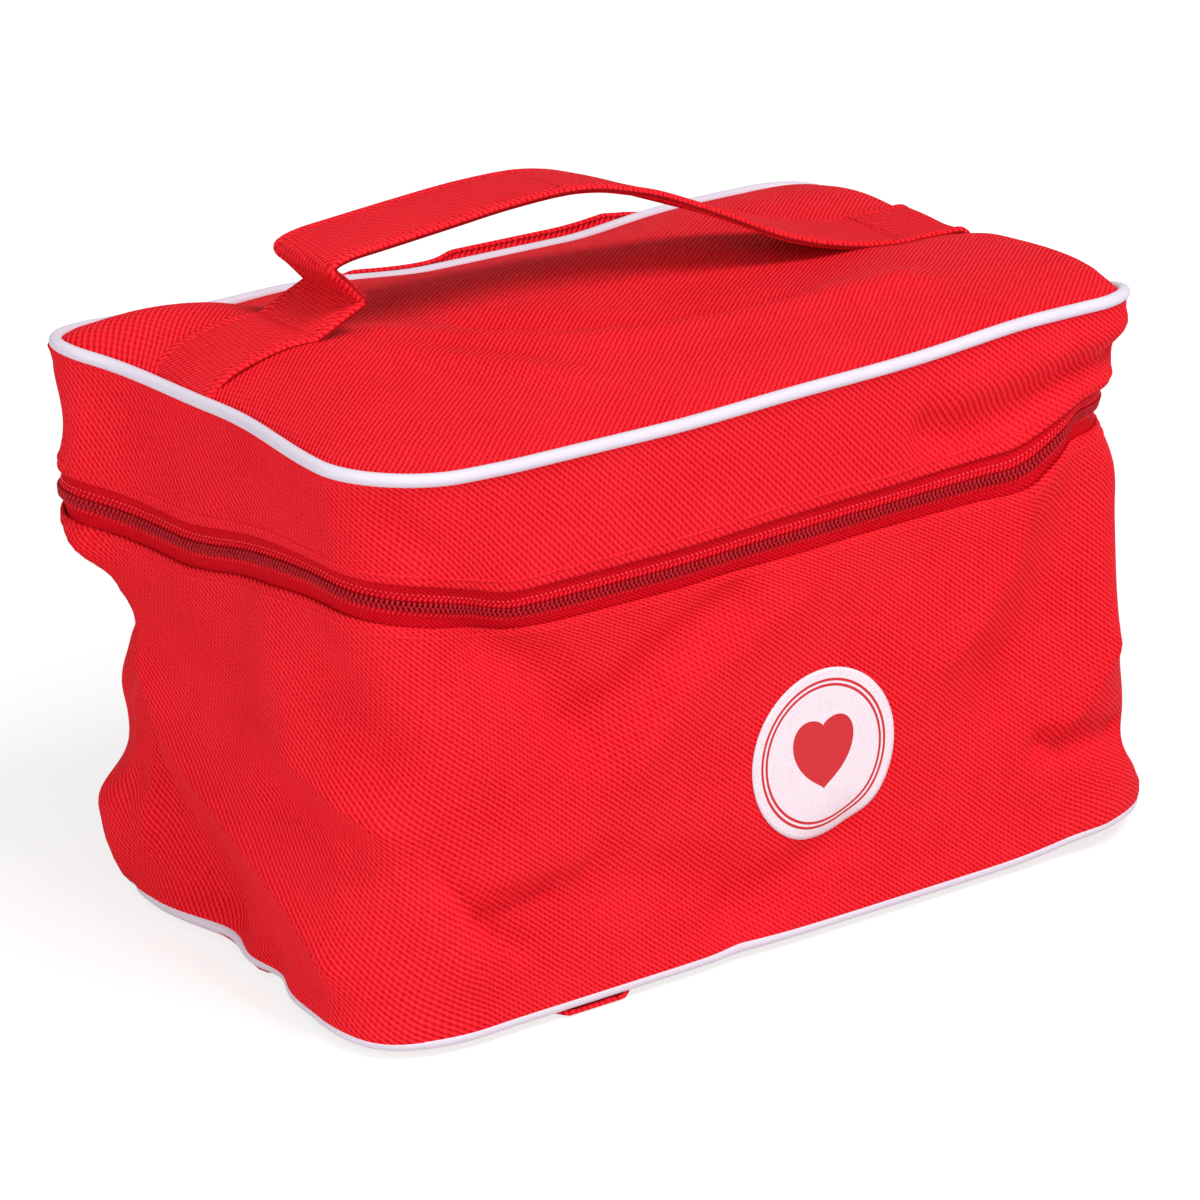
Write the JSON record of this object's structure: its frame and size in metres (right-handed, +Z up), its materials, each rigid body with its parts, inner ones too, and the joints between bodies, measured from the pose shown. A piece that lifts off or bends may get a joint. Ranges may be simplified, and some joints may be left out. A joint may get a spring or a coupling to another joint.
{
  "type": "toy doctor case",
  "caption": "Soft rectangular fabric toy doctor case with a zipped hinged lid, white piped edges, a slack webbing handle and a round printed badge on the front.",
  "frame": {"origin": "on the floor under the middle of the case", "axes": "+Z up, +X along the length, the front with the badge faces -Y"},
  "size_m": [0.2398, 0.1498, 0.1727],
  "materials": {
    "red_oxford": "coated oxford weave",
    "white_piping": "smooth extruded vinyl",
    "red_binding": "woven binding tape",
    "red_zip_tape": "woven zip tape",
    "red_zip_coil": "monofilament coil",
    "zip_metal": "red enamel",
    "badge_film": "printed transfer film",
    "red_webbing": "doubled oxford strap"
  },
  "bodies": {
    "case": {"bottom_panel": "red_oxford", "bottom_piping": "white_piping", "bottom_seam_binding": "red_binding", "body_band": "red_oxford", "body_zip_binding": "red_binding", "zip_lower_tape": "red_zip_tape", "zip_lower_coil": "red_zip_coil", "zip_lower_stops": "zip_metal", "hinge_strip": "red_oxford", "badge": "badge_film"},
    "lid": {"top_panel": "red_oxford", "top_piping": "white_piping", "top_seam_binding": "red_binding", "lid_band": "red_oxford", "lid_zip_binding": "red_binding", "zip_upper_tape": "red_zip_tape", "zip_upper_coil": "red_zip_coil", "zip_upper_stops": "zip_metal", "handle_left_end": "red_webbing", "handle_right_end": "red_webbing"},
    "handle": {"handle_strap": "red_webbing"},
    "slider": {"zip_slider": "zip_metal"},
    "pull": {"pull_tab": "zip_metal"}
  },
  "joints": [
    {"name": "lid_hinge", "type": "hinge", "parent": "case", "child": "lid", "pos_m": [0, 0.0688, 0.108], "axis": [-1, 0, 0], "range_deg": [0, 170], "deforming": ["hinge_strip"]},
    {"name": "handle_lift", "type": "slide", "parent": "lid", "child": "handle", "axis": [0, 0, 1], "range_m": [0, 0.025]},
    {"name": "zip_travel", "type": "slide", "parent": "case", "child": "slider", "axis": [0, -1, 0], "range_m": [0, 0.076]},
    {"name": "pull_swing", "type": "hinge", "parent": "slider", "child": "pull", "pos_m": [0.118, 0.038, 0.108], "axis": [0, 0, -1], "range_deg": [0, 170]}
  ]
}
